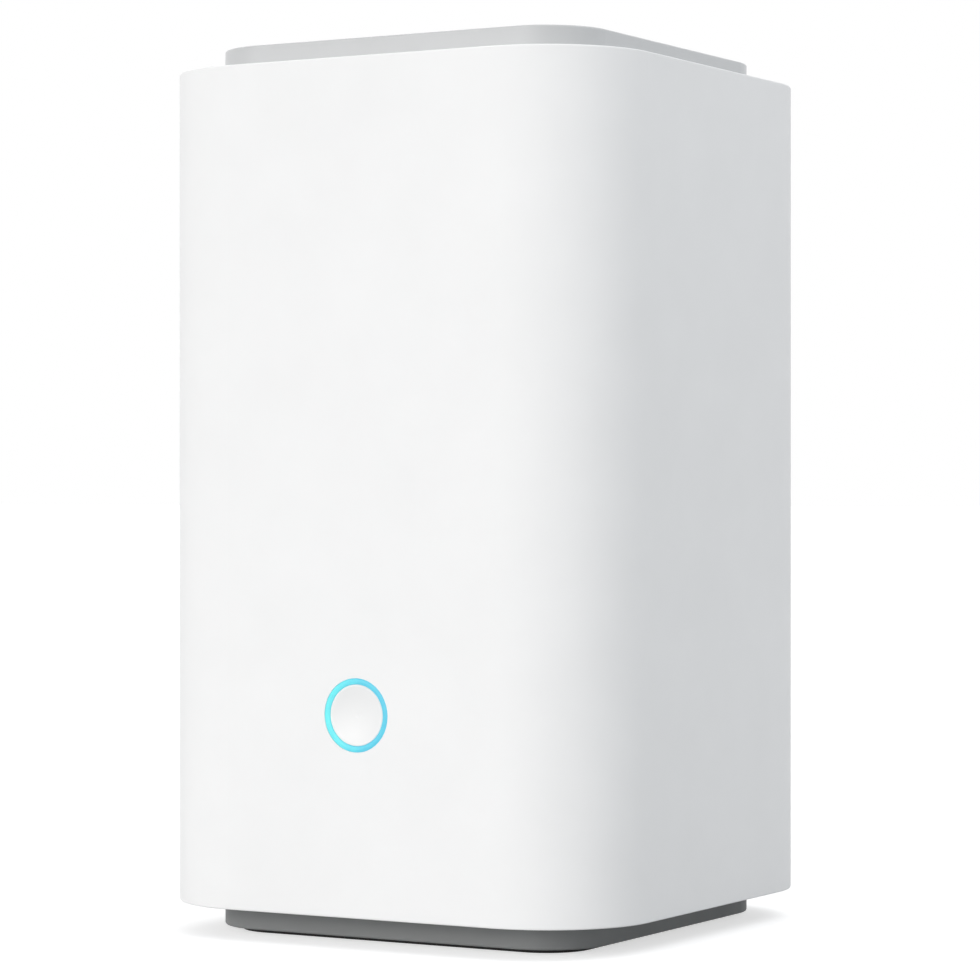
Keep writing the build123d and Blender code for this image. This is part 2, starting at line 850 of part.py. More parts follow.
def reset_switch():
    """Small side-pressed switch under the board, behind the pinhole."""
    body = block(
        dc_x - reset_w / 2, dc_x + reset_w / 2, reset_back_y - reset_l, reset_back_y,
        board_z - reset_h, board_z,
    )
    well_y = reset_back_y - reset_stem_in - reset_travel - card_gap
    return body - rod(
        dc_x, reset_stem_z, reset_stem_r + seat_gap, well_y, reset_back_y + overrun
    )


def reset_plunger():
    """Stem of the reset switch."""
    tip_y = reset_back_y + reset_stem_proud
    return rod(dc_x, reset_stem_z, reset_stem_r, reset_back_y - reset_stem_in, tip_y)


def light_ring():
    """Clear guide: a domed ring in the front wall, a flange behind it and a tube to the lamps."""
    edge_y = front_y + ring_edge_drop
    mid_r = (ring_inner_r + ring_outer_r) / 2
    crown = ThreePointArc((ring_inner_r, edge_y), (mid_r, front_y), (ring_outer_r, edge_y))
    flange_y = front_in_y + ring_flange_t
    rest = Polyline(
        (ring_outer_r, edge_y), (ring_outer_r, front_in_y), (ring_flange_r, front_in_y),
        (ring_flange_r, flange_y), (ring_tube_r, flange_y), (ring_tube_r, ring_back_y),
        (ring_bore_r, ring_back_y), (ring_bore_r, ring_step_y), (ring_inner_r, ring_step_y),
        (ring_inner_r, edge_y),
    )
    return turned(make_face([crown] + rest.edges()), button_z)


def front_button():
    """Dished cap with a skirt that slides in the ring, a stop flange and a centre stem."""
    rim_y = front_y + ring_edge_drop + button_sunk
    dish_r = button_r - button_rim_w
    floor_y = rim_y + dish_depth
    sphere_r = (dish_r**2 + dish_depth**2) / (2 * dish_depth)
    half_r = dish_r / 2
    half_y = floor_y - (sphere_r - math.sqrt(sphere_r**2 - half_r**2))
    dish = ThreePointArc((0, floor_y), (half_r, half_y), (dish_r, rim_y))
    hollow_r = button_r - button_skirt_t
    under_y = floor_y + button_front_t
    rest = Polyline(
        (dish_r, rim_y), (button_r - button_edge, rim_y), (button_r, rim_y + button_edge),
        (button_r, flange_front_y), (button_flange_r, flange_front_y),
        (button_flange_r, flange_back_y), (hollow_r, flange_back_y), (hollow_r, under_y),
        (button_stem_r, under_y), (button_stem_r, plunger_front_y), (0, plunger_front_y),
        (0, floor_y),
    )
    return turned(make_face([dish] + rest.edges()), button_z)


def switch_plunger():
    """Round stem of the button's switch."""
    return rod(0, button_z, plunger_r, plunger_front_y, plunger_front_y + plunger_l)


def button_switch():
    """Square push switch on the button board, with a well for its stem."""
    body = block(
        -switch_side / 2, switch_side / 2, switch_front_y, button_board_y,
        button_z - switch_side / 2, button_z + switch_side / 2,
    )
    return body - rod(
        0, button_z, switch_well_r, switch_front_y - overrun, switch_front_y + switch_well_l
    )


def button_board():
    """Small board behind the button."""
    shape = Pos(0, button_z) * RectangleRounded(
        button_board_w, button_board_h, button_board_corner_r
    )
    board = slab(shape, button_board_y, button_board_back_y)
    for x, dz in corners(button_hole_x, button_hole_z):
        z = button_z + dz
        hole_r = small_screw_r + mould_gap
        board -= rod(x, z, hole_r, button_board_y - overrun, button_board_back_y + overrun)
    return board


def ring_leds():
    """Lamps in a circle behind the ring's tube."""
    lamps = []
    for k in range(led_count):
        lamp = block(
            led_ring_r - led_d / 2, led_ring_r + led_d / 2, led_front_y, button_board_y,
            -led_w / 2, led_w / 2,
        )
        turn = 360 * (k + 1 / 2) / led_count
        lamps.append(Pos(0, 0, button_z) * Rot(0, turn, 0) * lamp)
    return group(lamps)


def button_board_screws():
    """Four small screws from behind into the sleeve's bosses."""
    length = button_pile - button_boss_floor + button_board_t
    shape = screw(small_screw_r, small_screw_head_r, small_screw_head_h, length)
    return group([
        Pos(x, button_board_back_y, button_z + dz) * Rot(-90, 0, 0) * shape
        for x, dz in corners(button_hole_x, button_hole_z)
    ])


def ribbon_sockets():
    """The flat cable's two sockets."""
    half = ribbon_socket_w / 2
    upper = block(
        -half, half, button_board_back_y, button_board_back_y + ribbon_socket_t,
        ribbon_top_z, ribbon_top_z + ribbon_socket_h,
    )
    lower = block(
        -half, half, ribbon_end_y, ribbon_end_y + ribbon_socket_l,
        board_top_z, board_top_z + ribbon_socket_t,
    )
    return group([upper, lower])


def button_ribbon():
    """Flat cable down behind the front wall and in over the main board's edge."""
    half = ribbon_t / 2
    outer_side = FilletPolyline(
        (ribbon_y - half, ribbon_top_z), (ribbon_y - half, ribbon_low_z - half),
        (ribbon_end_y, ribbon_low_z - half), radius=ribbon_bend_r + half,
    )
    inner_side_line = FilletPolyline(
        (ribbon_y + half, ribbon_top_z), (ribbon_y + half, ribbon_low_z + half),
        (ribbon_end_y, ribbon_low_z + half), radius=ribbon_bend_r - half,
    )
    top = Line((ribbon_y - half, ribbon_top_z), (ribbon_y + half, ribbon_top_z))
    end = Line((ribbon_end_y, ribbon_low_z - half), (ribbon_end_y, ribbon_low_z + half))
    strip = make_face(outer_side.edges() + inner_side_line.edges() + [top, end])
    return rail(strip, -ribbon_w / 2, ribbon_w / 2)


def frame_leg(side):
    """Channel-shaped leg with its sole and screw bosses, on one side."""
    web = block(frame_in_x, frame_x, -leg_w / 2, leg_w / 2, plate_top_z, cage_z + frame_t)
    rib_x = inner_side / 2 - plate_gap
    for sy in signs:
        y = sy * (leg_w - leg_rib_t) / 2
        web += block(
            frame_in_x, rib_x, y - leg_rib_t / 2, y + leg_rib_t / 2, plate_top_z, cage_z + frame_t
        )
    web += block(frame_x - sole_l, frame_x, -leg_w / 2, leg_w / 2, plate_top_z, sole_top_z)
    for sy in signs:
        web += peg(frame_screw_x, sy * frame_screw_y, screw_r + boss_wall, plate_top_z, sole_boss_z)
        web -= peg(
            frame_screw_x, sy * frame_screw_y, screw_r + seat_gap, plate_top_z - overrun,
            plate_top_z + frame_screw_grip,
        )
    web -= block(
        frame_in_x - overrun, frame_x + overrun, -leg_slot_w / 2, leg_slot_w / 2,
        leg_slot_z, leg_slot_z + leg_slot_h,
    )
    if side < 0:
        web = mirror(web, about=Plane.YZ)
    return web


def inner_frame():
    """Legs and a cage, open in front, that hold the speaker and the sleeve's roof."""
    cage = prism(frame_side, frame_side, frame_r, cage_z, deck_top_z)
    cage -= prism(
        frame_in_side, frame_in_side, frame_r - frame_t, cage_z - overrun, deck_top_z - frame_t
    )
    cage -= prism(
        deck_window_side, deck_window_side, deck_window_r, cage_z, deck_top_z + overrun
    )
    cage -= block(
        -cage_gate_w / 2, cage_gate_w / 2, -frame_x - overrun, -frame_in_x + 2 * frame_t,
        cage_z - overrun, deck_top_z + overrun,
    )
    window = Pos(cage_window_y, speaker_z) * RectangleRounded(
        cage_window_w, cage_window_h, cage_window_r
    )
    cage -= rail(window, -frame_x - overrun, frame_x + overrun)
    for x, y in corners(top_post_x, top_post_x):
        cage += peg(x, y, screw_r + boss_wall, deck_top_z - frame_t, roof_z)
        cage -= peg(x, y, screw_r + seat_gap, deck_top_z - frame_t - overrun, roof_z + overrun)
    cage -= rod(0, speaker_z, basket_r + basket_gap, 0, frame_x + overrun)
    for x, dz in corners(speaker_hole, speaker_hole):
        cage -= rod(x, speaker_z + dz, small_screw_r + seat_gap, 0, frame_x + overrun)
    for side in signs:
        cage += frame_leg(side)
    return cage


def frame_screws():
    """Four screws from below the plinth into the frame's soles, hidden by the rubber foot."""
    seat_z = foot_top_z + screw_head_h + mould_gap
    length = plate_top_z - seat_z + frame_screw_grip - screw_edge
    shape = Rot(180, 0, 0) * screw(screw_r, screw_head_r, screw_head_h, length)
    return group([Pos(x, y, seat_z) * shape for x, y in corners(frame_screw_x, frame_screw_y)])


def sleeve_screws():
    """Four screws through the roof into the frame's posts, hidden by the cap."""
    shape = screw(screw_r, screw_head_r, screw_head_h, wall + sleeve_screw_grip)
    places = corners(top_post_x, top_post_x)
    return group([Pos(x, y, sleeve_top_z) * shape for x, y in places])


def main_board():
    """Board across the tower, narrower behind where the sockets stand."""
    wide = block(-board_w / 2, board_w / 2, board_front_y, board_shoulder_y, board_z, board_top_z)
    tab = block(
        -board_tab_w / 2, board_tab_w / 2, board_shoulder_y - board_tab_l, board_back_y,
        board_z, board_top_z,
    )
    board = fillet(wide.edges().filter_by(Axis.Z), board_corner_r) + tab
    for y in (hole_front_y, hole_back_y):
        for sx in signs:
            hole_r = screw_r + mould_gap
            board -= peg(sx * hole_x, y, hole_r, board_z - overrun, board_top_z + overrun)
    for x, y in sink_pin_places():
        hole_r = sink_pin_r + mould_gap
        board -= peg(x, y, hole_r, board_z - overrun, board_top_z + overrun)
    return board


def board_screws():
    """Four screws that hold the main board to the plinth's standoffs."""
    length = board_t + board_lift - screw_edge
    shape = screw(screw_r, screw_head_r, screw_head_h, length)
    return group([
        Pos(sx * hole_x, y, board_top_z) * shape
        for y in (hole_front_y, hole_back_y) for sx in signs
    ])


def chip_block(x, y, side_x, side_y, z0, height):
    """Flat-sided piece lying on the board or on what is on it."""
    return block(x - side_x / 2, x + side_x / 2, y - side_y / 2, y + side_y / 2, z0, z0 + height)


def main_chip():
    """Processor."""
    return chip_block(chip_x, chip_y, chip_side, chip_side, board_top_z, chip_h)


def thermal_pad():
    """Soft pad between the processor and its heat sink."""
    return chip_block(chip_x, chip_y, chip_side, chip_side, board_top_z + chip_h, pad_t)


def sink_pin_places():
    """The heat sink's two pins, on opposite corners."""
    reach_x = sink_w / 2 - sink_pin_in
    reach_y = sink_l / 2 - sink_pin_in
    return [(chip_x + s * reach_x, chip_y - s * reach_y) for s in signs]


def heat_sink():
    """Finned heat sink with room for its two pins."""
    sink = chip_block(chip_x, chip_y, sink_w, sink_l, sink_z, sink_base_t)
    step = (sink_w - sink_fin_t) / (sink_fins - 1)
    fin_z = sink_z + sink_base_t
    for k in range(sink_fins):
        x = sink_left_x + sink_fin_t / 2 + k * step
        sink += chip_block(x, chip_y, sink_fin_t, sink_l, fin_z, sink_fin_h)
    for x, y in sink_pin_places():
        room_r = sink_pin_head_r + mould_gap
        sink -= peg(x, y, room_r, fin_z, fin_z + sink_fin_h + overrun)
        sink -= peg(x, y, sink_pin_r + mould_gap, sink_z - overrun, fin_z + overrun)
    return sink


def heat_sink_pins():
    """Push pins that hold the heat sink down."""
    top_z = sink_z + sink_base_t
    barb_z = board_z - seat_gap
    points = (
        (0, top_z + sink_pin_head_h), (sink_pin_head_r, top_z + sink_pin_head_h),
        (sink_pin_head_r, top_z), (sink_pin_r, top_z), (sink_pin_r, barb_z),
        (sink_pin_barb_r, barb_z), (sink_pin_r / 2, barb_z - sink_pin_barb_h),
        (0, barb_z - sink_pin_barb_h),
    )
    return group([spun(x, y, *points) for x, y in sink_pin_places()])


def memory_chips():
    """Memory beside the heat sink."""
    chips = []
    for k in range(memory_count):
        y = memory_front_y + memory_l / 2 + k * memory_pitch
        chips.append(chip_block(memory_x, y, memory_w, memory_l, board_top_z, memory_h))
    return group(chips)


def radio_shield():
    """Folded can over the radio circuits."""
    half = can_w / 2
    top_z = board_top_z + can_h
    can = block(can_x - half, can_x + half, can_front_y, can_back_y, board_top_z, top_z)
    return can - block(
        can_x - half + can_t, can_x + half - can_t, can_front_y + can_t, can_back_y - can_t,
        board_top_z - overrun, top_z - can_t,
    )


def lan_transformer():
    """Isolating transformer behind the network socket."""
    y = transformer_front_y + transformer_l / 2
    return chip_block(lan_x, y, lan_w, transformer_l, board_top_z, transformer_h)


def capacitors():
    """Round capacitors in front of the power socket."""
    y = board_back_y - dc_l - capacitor_gap - capacitor_r
    top_z = board_top_z + capacitor_h
    points = (
        (0, board_top_z), (capacitor_r, board_top_z), (capacitor_r, top_z - capacitor_edge),
        (capacitor_r - capacitor_edge, top_z), (0, top_z),
    )
    return group([spun(dc_x + k * capacitor_pitch, y, *points) for k in range(capacitor_count)])


def aerial_plug_xs():
    """Places of the aerial plugs in a row behind the radio can."""
    return [plug_row_x - k * aerial_plug_pitch for k in range(3)]


def aerial_plugs():
    """Round snap-on plugs of the aerial leads."""
    top_z = board_top_z + aerial_plug_h
    return group([
        peg(x, plug_row_y, aerial_plug_r, board_top_z, top_z) for x in aerial_plug_xs()
    ])


def speaker_plug():
    """Plug of the speaker lead on the main board."""
    return chip_block(
        speaker_plug_x, speaker_plug_y, speaker_plug_w, speaker_plug_l, board_top_z,
        speaker_plug_h,
    )


def speaker_grille():
    """Round grille with level slots, let into the sleeve's back and lapped behind its wall."""
    grille = rod(0, speaker_z, grille_r, grille_flange_y, back_y - grille_sunk)
    lip = rod(0, speaker_z, grille_r + grille_lap, grille_flange_y, back_in_y)
    grille += lip & sleeve_inside(0, sleeve_z, roof_z)
    field_r = grille_r - grille_rim
    for k in range(grille_slots):
        dz = (k - (grille_slots - 1) / 2) * grille_pitch
        length = 2 * math.sqrt(field_r**2 - dz**2)
        slot = Pos(0, speaker_z + dz) * SlotOverall(length, grille_slot_h)
        grille -= slab(slot, grille_flange_y - overrun, back_y + overrun)
    return grille


def speaker_basket():
    """Speaker frame: a square flange and a windowed bowl through the cage's back wall."""
    seat = Pos(0, speaker_z) * RectangleRounded(
        speaker_flange_side, speaker_flange_side, speaker_corner_r
    )
    inner_r0 = surround_r + seat_gap
    basket = slab(seat, speaker_seat_y, speaker_face_y)
    basket -= rod(0, speaker_z, inner_r0, speaker_seat_y - overrun, speaker_face_y + overrun)
    for x, dz in corners(speaker_hole, speaker_hole):
        hole_r = small_screw_r + mould_gap
        basket -= rod(x, speaker_z + dz, hole_r, speaker_seat_y - overrun, speaker_face_y + overrun)
    neck_y = basket_back_y + basket_t
    neck_hole_r = coil_r + magnet_gap_w / 2
    bowl = turned(
        outline(
            (basket_r, speaker_seat_y), (basket_r, speaker_seat_y - basket_t),
            (basket_neck_r, neck_y), (basket_neck_r, basket_back_y), (neck_hole_r, basket_back_y),
            (neck_hole_r, neck_y), (basket_neck_r - basket_t, neck_y),
            (inner_r0, speaker_seat_y - basket_t), (inner_r0, speaker_seat_y),
        ),
        speaker_z,
    )
    for k in range(basket_windows):
        window = block(
            -basket_window_w / 2, basket_window_w / 2, neck_y + basket_t,
            speaker_seat_y - 2 * basket_t, basket_neck_r - basket_t, basket_r + overrun,
        )
        turn = 360 * (k + 1 / 2) / basket_windows
        bowl -= Pos(0, 0, speaker_z) * Rot(0, turn, 0) * window
    return basket + bowl + speaker_tag()


def speaker_tag():
    """Solder tag board on the lower side of the basket's bowl."""
    return block(-tag_w / 2, tag_w / 2, tag_y, tag_y + tag_t, tag_z, tag_z + tag_h)


def speaker_cone():
    """Paper cone with its surround and domed dust cap."""
    rim_y = cone_rim_y
    neck_y = rim_y - cone_depth
    knee_r = surround_r - surround_w
    cap_front = ThreePointArc(
        (0, neck_y + dust_cap_rise + cone_t), (cone_neck_r / 2, neck_y + dust_cap_rise),
        (cone_neck_r, neck_y + cone_t),
    )
    cap_back = ThreePointArc(
        (0, neck_y + dust_cap_rise), (cone_neck_r / 2, neck_y + dust_cap_rise - cone_t),
        (cone_neck_r - cone_t, neck_y),
    )
    front = Polyline(
        (cone_neck_r, neck_y + cone_t), (knee_r, rim_y + cone_t), (surround_r, rim_y + cone_t),
        (surround_r, rim_y), (knee_r + cone_t, rim_y), (cone_neck_r + cone_t, neck_y),
        (cone_neck_r - cone_t, neck_y),
    )
    middle = Line((0, neck_y + dust_cap_rise), (0, neck_y + dust_cap_rise + cone_t))
    edges = [cap_front, cap_back, middle] + front.edges()
    return turned(make_face(edges), speaker_z)


def voice_coil():
    """Coil tube from the cone's neck into the magnet's gap."""
    front = cone_rim_y - cone_depth
    tube = rod(0, speaker_z, coil_r, front - coil_l, front)
    return tube - rod(0, speaker_z, coil_r - coil_t, front - coil_l - overrun, front + overrun)


def speaker_magnet():
    """Magnet and pole piece with the ring gap for the coil."""
    front = basket_back_y
    back = front - magnet_l
    gap_y = front - magnet_gap_l
    middle_r = coil_r - coil_t / 2
    shape = outline(
        (0, back), (magnet_r, back), (magnet_r, front), (middle_r + magnet_gap_w / 2, front),
        (middle_r + magnet_gap_w / 2, gap_y), (middle_r - magnet_gap_w / 2, gap_y),
        (middle_r - magnet_gap_w / 2, front), (0, front),
    )
    return turned(shape, speaker_z)


def speaker_gasket():
    """Foam ring between the speaker and the grille."""
    outer_r = grille_r + grille_lap
    ring = rod(0, speaker_z, outer_r, speaker_face_y, grille_flange_y)
    return ring - rod(
        0, speaker_z, outer_r - gasket_w, speaker_face_y - overrun, grille_flange_y + overrun
    )


def speaker_screws():
    """Four small screws that hold the speaker in the cage."""
    length = speaker_flange_t + frame_t
    shape = screw(small_screw_r, small_screw_head_r, small_screw_head_h, length)
    return group([
        Pos(x, speaker_face_y, speaker_z + dz) * Rot(-90, 0, 0) * shape
        for x, dz in corners(speaker_hole, speaker_hole)
    ])


def wifi_aerials():
    """Thin strips on the cage's two sides."""
    strips = []
    for side in signs:
        x0 = min(side * frame_x, side * (frame_x + aerial_t))
        strips.append(block(
            x0, x0 + aerial_t, wifi_aerial_y - wifi_aerial_w / 2,
            wifi_aerial_y + wifi_aerial_w / 2,
            speaker_z - wifi_aerial_h / 2, speaker_z + wifi_aerial_h / 2,
        ))
    return group(strips)


def hub_aerial():
    """Thin strip in the right leg's channel, for the cameras' own radio band."""
    return block(
        frame_x, frame_x + aerial_t, -hub_aerial_w / 2, hub_aerial_w / 2,
        hub_aerial_z - hub_aerial_h / 2, hub_aerial_z + hub_aerial_h / 2,
    )


def lead(name, points, r):
    """Round lead along straight runs joined by arcs as large as the runs allow."""
    stops = [Vector(*point) for point in points]
    runs = [b - a for a, b in zip(stops, stops[1:])]
    radii = []
    for before, after in zip(runs, runs[1:]):
        turn = math.radians(before.get_angle(after))
        radii.append(lead_turn_share * min(before.length, after.length) / math.tan(turn / 2))
    path = FilletPolyline(*points, radius=radii)
    profile = Plane(origin=stops[0], z_dir=runs[0]) * Circle(r)
    tube = sweep(profile, path=path)
    straight_volume = math.pi * r**2 * path.length
    print(name, "bend radii", [round(radius, 1) for radius in radii])
    print(name, "volume", round(tube.volume, 1), "of", round(straight_volume, 1))
    return tube


def lead_z(share):
    """Height between the main board and the cage, as a share of the room there."""
    return board_top_z + share * (cage_z - board_top_z)


def lead_point(x_share, y_share, z_share):
    """Point in the room between the main board and the cage, within the frame's sides."""
    return (x_share * frame_x, y_share * frame_x, lead_z(z_share))


def aerial_leads():
    """Three thin leads from the aerials to their plugs on the main board."""
    top_z = board_top_z + aerial_plug_h
    lead_x = frame_x + aerial_t + lead_r
    wifi_low_z = speaker_z - wifi_aerial_h / 2 + lead_r
    hub_low_z = hub_aerial_z - hub_aerial_h / 2 + lead_r
    hub_x_share, hub_y_share, hub_z_share = hub_lead_shares
    right_x, hub_x, left_x = aerial_plug_xs()
    right = lead("right aerial lead", [
        (lead_x, wifi_aerial_y, wifi_low_z),
        (lead_x, wifi_aerial_y, cage_z - lead_drop),
        lead_point(*right_lead_shares),
        (right_x, plug_row_y, lead_z(right_lead_low_share)),
        (right_x, plug_row_y, top_z),
    ], lead_r)
    left = lead("left aerial lead", [
        (-lead_x, wifi_aerial_y, wifi_low_z),
        (-lead_x, wifi_aerial_y, cage_z - lead_drop),
        *[lead_point(*shares) for shares in left_lead_shares],
        (left_x, plug_row_y, lead_z(left_lead_low_share)),
        (left_x, plug_row_y, top_z),
    ], lead_r)
    hub = lead("hub aerial lead", [
        (lead_x, 0, hub_low_z),
        (lead_x, 0, leg_slot_z + hub_lead_top_share * leg_slot_h),
        (hub_x_share * frame_x, hub_y_share * frame_x, leg_slot_z + hub_z_share * leg_slot_h),
        (hub_x, plug_row_y, leg_slot_z + hub_lead_low_share * leg_slot_h),
        (hub_x, plug_row_y, top_z),
    ], lead_r)
    return group([right, left, hub])


def speaker_lead():
    """Lead from the speaker's tag board to its plug on the main board."""
    tag_mid_y = tag_y + tag_t / 2
    return lead("speaker lead", [
        (0, tag_mid_y, tag_z),
        (0, tag_mid_y, lead_z(speaker_lead_top_share)),
        *[lead_point(*shares) for shares in speaker_lead_shares],
        (speaker_plug_x, speaker_plug_y, lead_z(speaker_lead_low_share)),
        (speaker_plug_x, speaker_plug_y, board_top_z + speaker_plug_h),
    ], speaker_lead_r)


NODES = {
    "outer_sleeve": outer_sleeve,
    "top_cap": top_cap,
    "base_plinth": base_plinth,
    "rubber_foot": rubber_foot,
    "rear_io_panel": rear_io_panel,
    "lan_jack": lan_jack,
    "lan_jack_shield": lan_jack_shield,
    "lan_contacts": lan_contacts,
    "lan_lamps": lan_lamps,
    "usb_port": usb_port,
    "usb_tongue": usb_tongue,
    "dc_jack": dc_jack,
    "dc_jack_pin": dc_jack_pin,
    "microsd_sockets": microsd_sockets,
    "microsd_card_a": lambda: microsd_card(card_xs[0]),
    "microsd_card_b": lambda: microsd_card(card_xs[1]),
    "reset_switch": reset_switch,
    "reset_plunger": reset_plunger,
    "light_ring": light_ring,
    "front_button": front_button,
    "switch_plunger": switch_plunger,
    "button_switch": button_switch,
    "button_board": button_board,
    "ring_leds": ring_leds,
    "button_board_screws": button_board_screws,
    "ribbon_sockets": ribbon_sockets,
    "button_ribbon": button_ribbon,
    "inner_frame": inner_frame,
    "frame_screws": frame_screws,
    "sleeve_screws": sleeve_screws,
    "main_board": main_board,
    "board_screws": board_screws,
    "main_chip": main_chip,
    "thermal_pad": thermal_pad,
    "heat_sink": heat_sink,
    "heat_sink_pins": heat_sink_pins,
    "memory_chips": memory_chips,
    "radio_shield": radio_shield,
    "lan_transformer": lan_transformer,
    "capacitors": capacitors,
    "aerial_plugs": aerial_plugs,
    "speaker_plug": speaker_plug,
    "speaker_grille": speaker_grille,
    "speaker_basket": speaker_basket,
    "speaker_cone": speaker_cone,
    "voice_coil": voice_coil,
    "speaker_magnet": speaker_magnet,
    "speaker_gasket": speaker_gasket,
    "speaker_screws": speaker_screws,
    "wifi_aerials": wifi_aerials,
    "hub_aerial": hub_aerial,
    "aerial_leads": aerial_leads,
    "speaker_lead": speaker_lead,
}

os.makedirs("parts", exist_ok=True)
for node, make in NODES.items():
    export_step(make(), f"parts/{node}.step")
    print(node)
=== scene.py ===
import json
import math

import bmesh
import bpy
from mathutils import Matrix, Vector


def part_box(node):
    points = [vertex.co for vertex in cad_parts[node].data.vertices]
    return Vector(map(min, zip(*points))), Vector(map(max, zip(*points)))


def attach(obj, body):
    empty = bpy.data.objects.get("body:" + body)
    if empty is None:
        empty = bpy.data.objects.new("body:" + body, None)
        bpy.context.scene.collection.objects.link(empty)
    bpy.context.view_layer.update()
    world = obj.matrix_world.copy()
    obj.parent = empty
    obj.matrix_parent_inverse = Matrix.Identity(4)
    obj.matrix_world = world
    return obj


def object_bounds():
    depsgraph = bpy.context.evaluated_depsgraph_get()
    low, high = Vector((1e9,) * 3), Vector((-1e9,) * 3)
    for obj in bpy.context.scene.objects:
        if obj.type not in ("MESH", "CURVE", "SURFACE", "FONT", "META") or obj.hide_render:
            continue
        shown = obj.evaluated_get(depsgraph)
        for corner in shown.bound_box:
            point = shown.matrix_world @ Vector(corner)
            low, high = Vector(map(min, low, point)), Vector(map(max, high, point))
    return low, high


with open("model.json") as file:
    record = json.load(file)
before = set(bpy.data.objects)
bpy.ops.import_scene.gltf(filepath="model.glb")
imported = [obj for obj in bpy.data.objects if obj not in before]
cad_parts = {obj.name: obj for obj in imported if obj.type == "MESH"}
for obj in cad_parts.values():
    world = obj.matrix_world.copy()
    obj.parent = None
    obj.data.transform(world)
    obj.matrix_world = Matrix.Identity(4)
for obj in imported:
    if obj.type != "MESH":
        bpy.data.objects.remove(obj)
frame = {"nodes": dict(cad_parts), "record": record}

# Looks for the security camera base station. Metres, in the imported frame: +Z up, the front faces -Y.

MM = 0.001
cad_box = [list(corner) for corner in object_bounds()]
TOTAL_H = cad_box[1][2]

# Camera, fitted to the photograph
CAMERA_AZIMUTH = math.radians(29.9)
CAMERA_DISTANCE = 0.661
CAMERA_LENS = 127.6
SENSOR = 36.0

# Studio: light from all round, and the floor with the glow that lifts it to white where it is lit
WORLD_LIGHT = (0.563, 0.575, 0.588)
WHITE = (1.0, 1.0, 1.0)
WARM = (1.0, 0.976, 0.951)
COOL = (0.98, 1.0, 1.02)
FLOOR_SIDE = 30.0
FLOOR_COLOR = (0.62, 0.62, 0.62)
FLOOR_ROUGHNESS = 0.9
FLOOR_LIFT = 0.62

# Lamps. Angles in degrees: azimuth 0 is in front and a positive one to the right. The spread is a
# sun's angle in degrees, or a soft box's side in metres.
LAMPS = (
    dict(kind="SUN", azimuth=-15, elevation=5, distance=2.0, spread=50, power=2.52, color=WARM),
    dict(kind="AREA", azimuth=90, elevation=55, distance=0.6, spread=0.4, power=1.02, color=COOL),
    dict(kind="SUN", azimuth=-145, elevation=35, distance=2.0, spread=40, power=0.5, color=WHITE),
)

# The colours' sockets in Blender's Mix node
MIX_A = 6
MIX_B = 7
MIX_RESULT = 2

# The noise's values that count as its least and its most, and the least roughness
NOISE_RANGE = (0.25, 0.75)
MIN_ROUGHNESS = 0.02

# Moulded plastics: colour, roughness, grain's size and depth in millimetres, and specular level
MOULDED = {
    "shell_white": ((0.86, 0.864, 0.866), 0.55, 0.5, 0.003, 0.15),
    "cap_grey": ((0.5, 0.508, 0.514), 0.45, 0.4, 0.003, 0.5),
    "plinth_dark": ((0.256, 0.264, 0.266), 0.55, 0.5, 0.016, 0.17),
    "button_white": ((0.81, 0.814, 0.816), 0.4, 0.4, 0.001, 0.5),
    "panel_black": ((0.03, 0.03, 0.032), 0.45, 0.35, 0.02, 0.5),
    "socket_black": ((0.015, 0.015, 0.016), 0.4, 0.4, 0.004, 0.5),
    "chip_black": ((0.02, 0.02, 0.022), 0.55, 0.2, 0.01, 0.5),
    "card_black": ((0.01, 0.01, 0.012), 0.5, 0.4, 0.004, 0.2),
    "frame_grey": ((0.1, 0.105, 0.11), 0.5, 0.4, 0.004, 0.5),
    "connector_white": ((0.7, 0.67, 0.6), 0.45, 0.4, 0.004, 0.5),
    "pin_nylon": ((0.02, 0.02, 0.02), 0.5, 0.4, 0.004, 0.5),
    "magnet_black": ((0.03, 0.03, 0.033), 0.6, 0.6, 0.02, 0.5),
    "aerial_film": ((0.45, 0.25, 0.08), 0.35, 0.4, 0.004, 0.5),
    "lamp_white": ((0.75, 0.72, 0.5), 0.35, 0.4, 0.004, 0.5),
}

# Rolled or brushed metals: colour, roughness, and how much finer the lines are along each axis
ROLLED = {
    "sheet_steel": ((0.62, 0.62, 0.63), 0.32, (1, 1, 8)),
    "contact_metal": ((0.86, 0.66, 0.3), 0.22, (1, 1, 8)),
    "sink_aluminium": ((0.72, 0.73, 0.74), 0.38, (1, 12, 1)),
    "screw_steel": ((0.5, 0.5, 0.51), 0.3, (1, 1, 3)),
    "coil_copper": ((0.72, 0.36, 0.2), 0.3, (1, 12, 1)),
    "capacitor_can": ((0.6, 0.6, 0.62), 0.3, (1, 1, 8)),
}

# Rubber, foam and sheaths: colour, roughness, and grain's size and depth in millimetres
SOFT = {
    "foot_rubber": ((0.018, 0.018, 0.018), 0.75, 0.5, 0.02),
    "pad_soft": ((0.28, 0.33, 0.42), 0.7, 0.5, 0.02),
    "foam_black": ((0.02, 0.02, 0.02), 0.9, 0.35, 0.05),
    "cone_black": ((0.03, 0.03, 0.03), 0.6, 0.8, 0.03),
    "lead_black": ((0.02, 0.02, 0.02), 0.5, 0.4, 0.006),
    "lead_grey": ((0.3, 0.3, 0.31), 0.5, 0.4, 0.006),
}

# What some of these finishes have besides
EXTRAS = {
    "cap_grey": {"Sheen Weight": 0.6},
    "lamp_white": {"Emission Color": (0.2, 0.75, 1.0), "Emission Strength": 0.6},
}

# Light ring: colours and glows on its left, lighter with painted light from the lamps on that side,
# and on its right, darker with painted shade. Then where one turns into the other and how far that
# reaches, both as shares of its radius, and how much noise shifts it
GUIDE_LIT_AND_SHADED_COLORS = ((0.1, 0.5, 0.5), (0.09, 0.42, 0.5))
GUIDE_LIT_AND_SHADED_GLOWS = ((0.078, 0.39, 0.43), (0.035, 0.2, 0.32))
GUIDE_TURN = -0.15
GUIDE_TURN_REACH = 0.55
GUIDE_UNEVEN = 0.2

